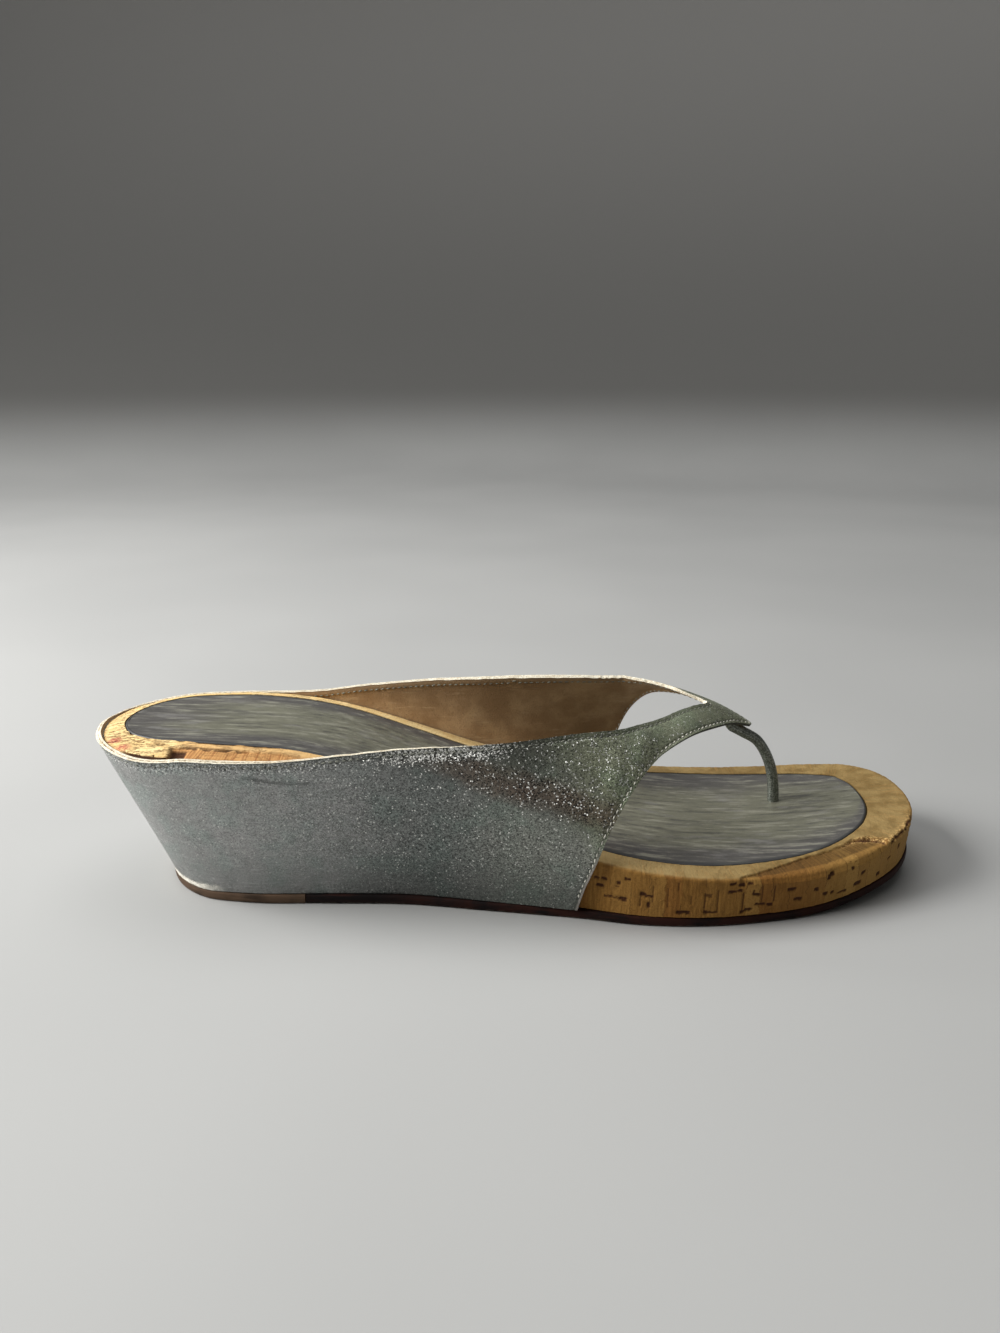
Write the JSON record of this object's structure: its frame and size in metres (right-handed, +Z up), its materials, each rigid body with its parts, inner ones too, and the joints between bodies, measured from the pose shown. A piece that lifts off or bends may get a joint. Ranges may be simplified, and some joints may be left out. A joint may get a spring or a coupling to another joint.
{
  "type": "wedge thong mule",
  "caption": "Backless wedge sandal: a cork wedge on a thin leather sole, with a leather wrap that rises into a V strap held by a toe post.",
  "frame": {"origin": "on the floor, under the middle of the bounding box", "axes": "+X towards the toe, +Z up, +Y towards the inner side of the foot"},
  "size_m": [0.2498, 0.0816, 0.0529],
  "materials": {
    "heel_tap": "matt brown top piece, scuffed",
    "outsole": "dark stained sole leather edge",
    "cork": "waxed cork with dark flecks",
    "sock": "satin slate grey sock leather",
    "upper": "metallic pewter leather with fine sparkle",
    "toe_post": "metallic pewter leather, rolled"
  },
  "bodies": {
    "root": {"heel_tap": "heel_tap", "outsole": "outsole", "wedge": "cork", "insole": "sock", "upper": "upper", "toe_post": "toe_post"}
  },
  "joints": []
}
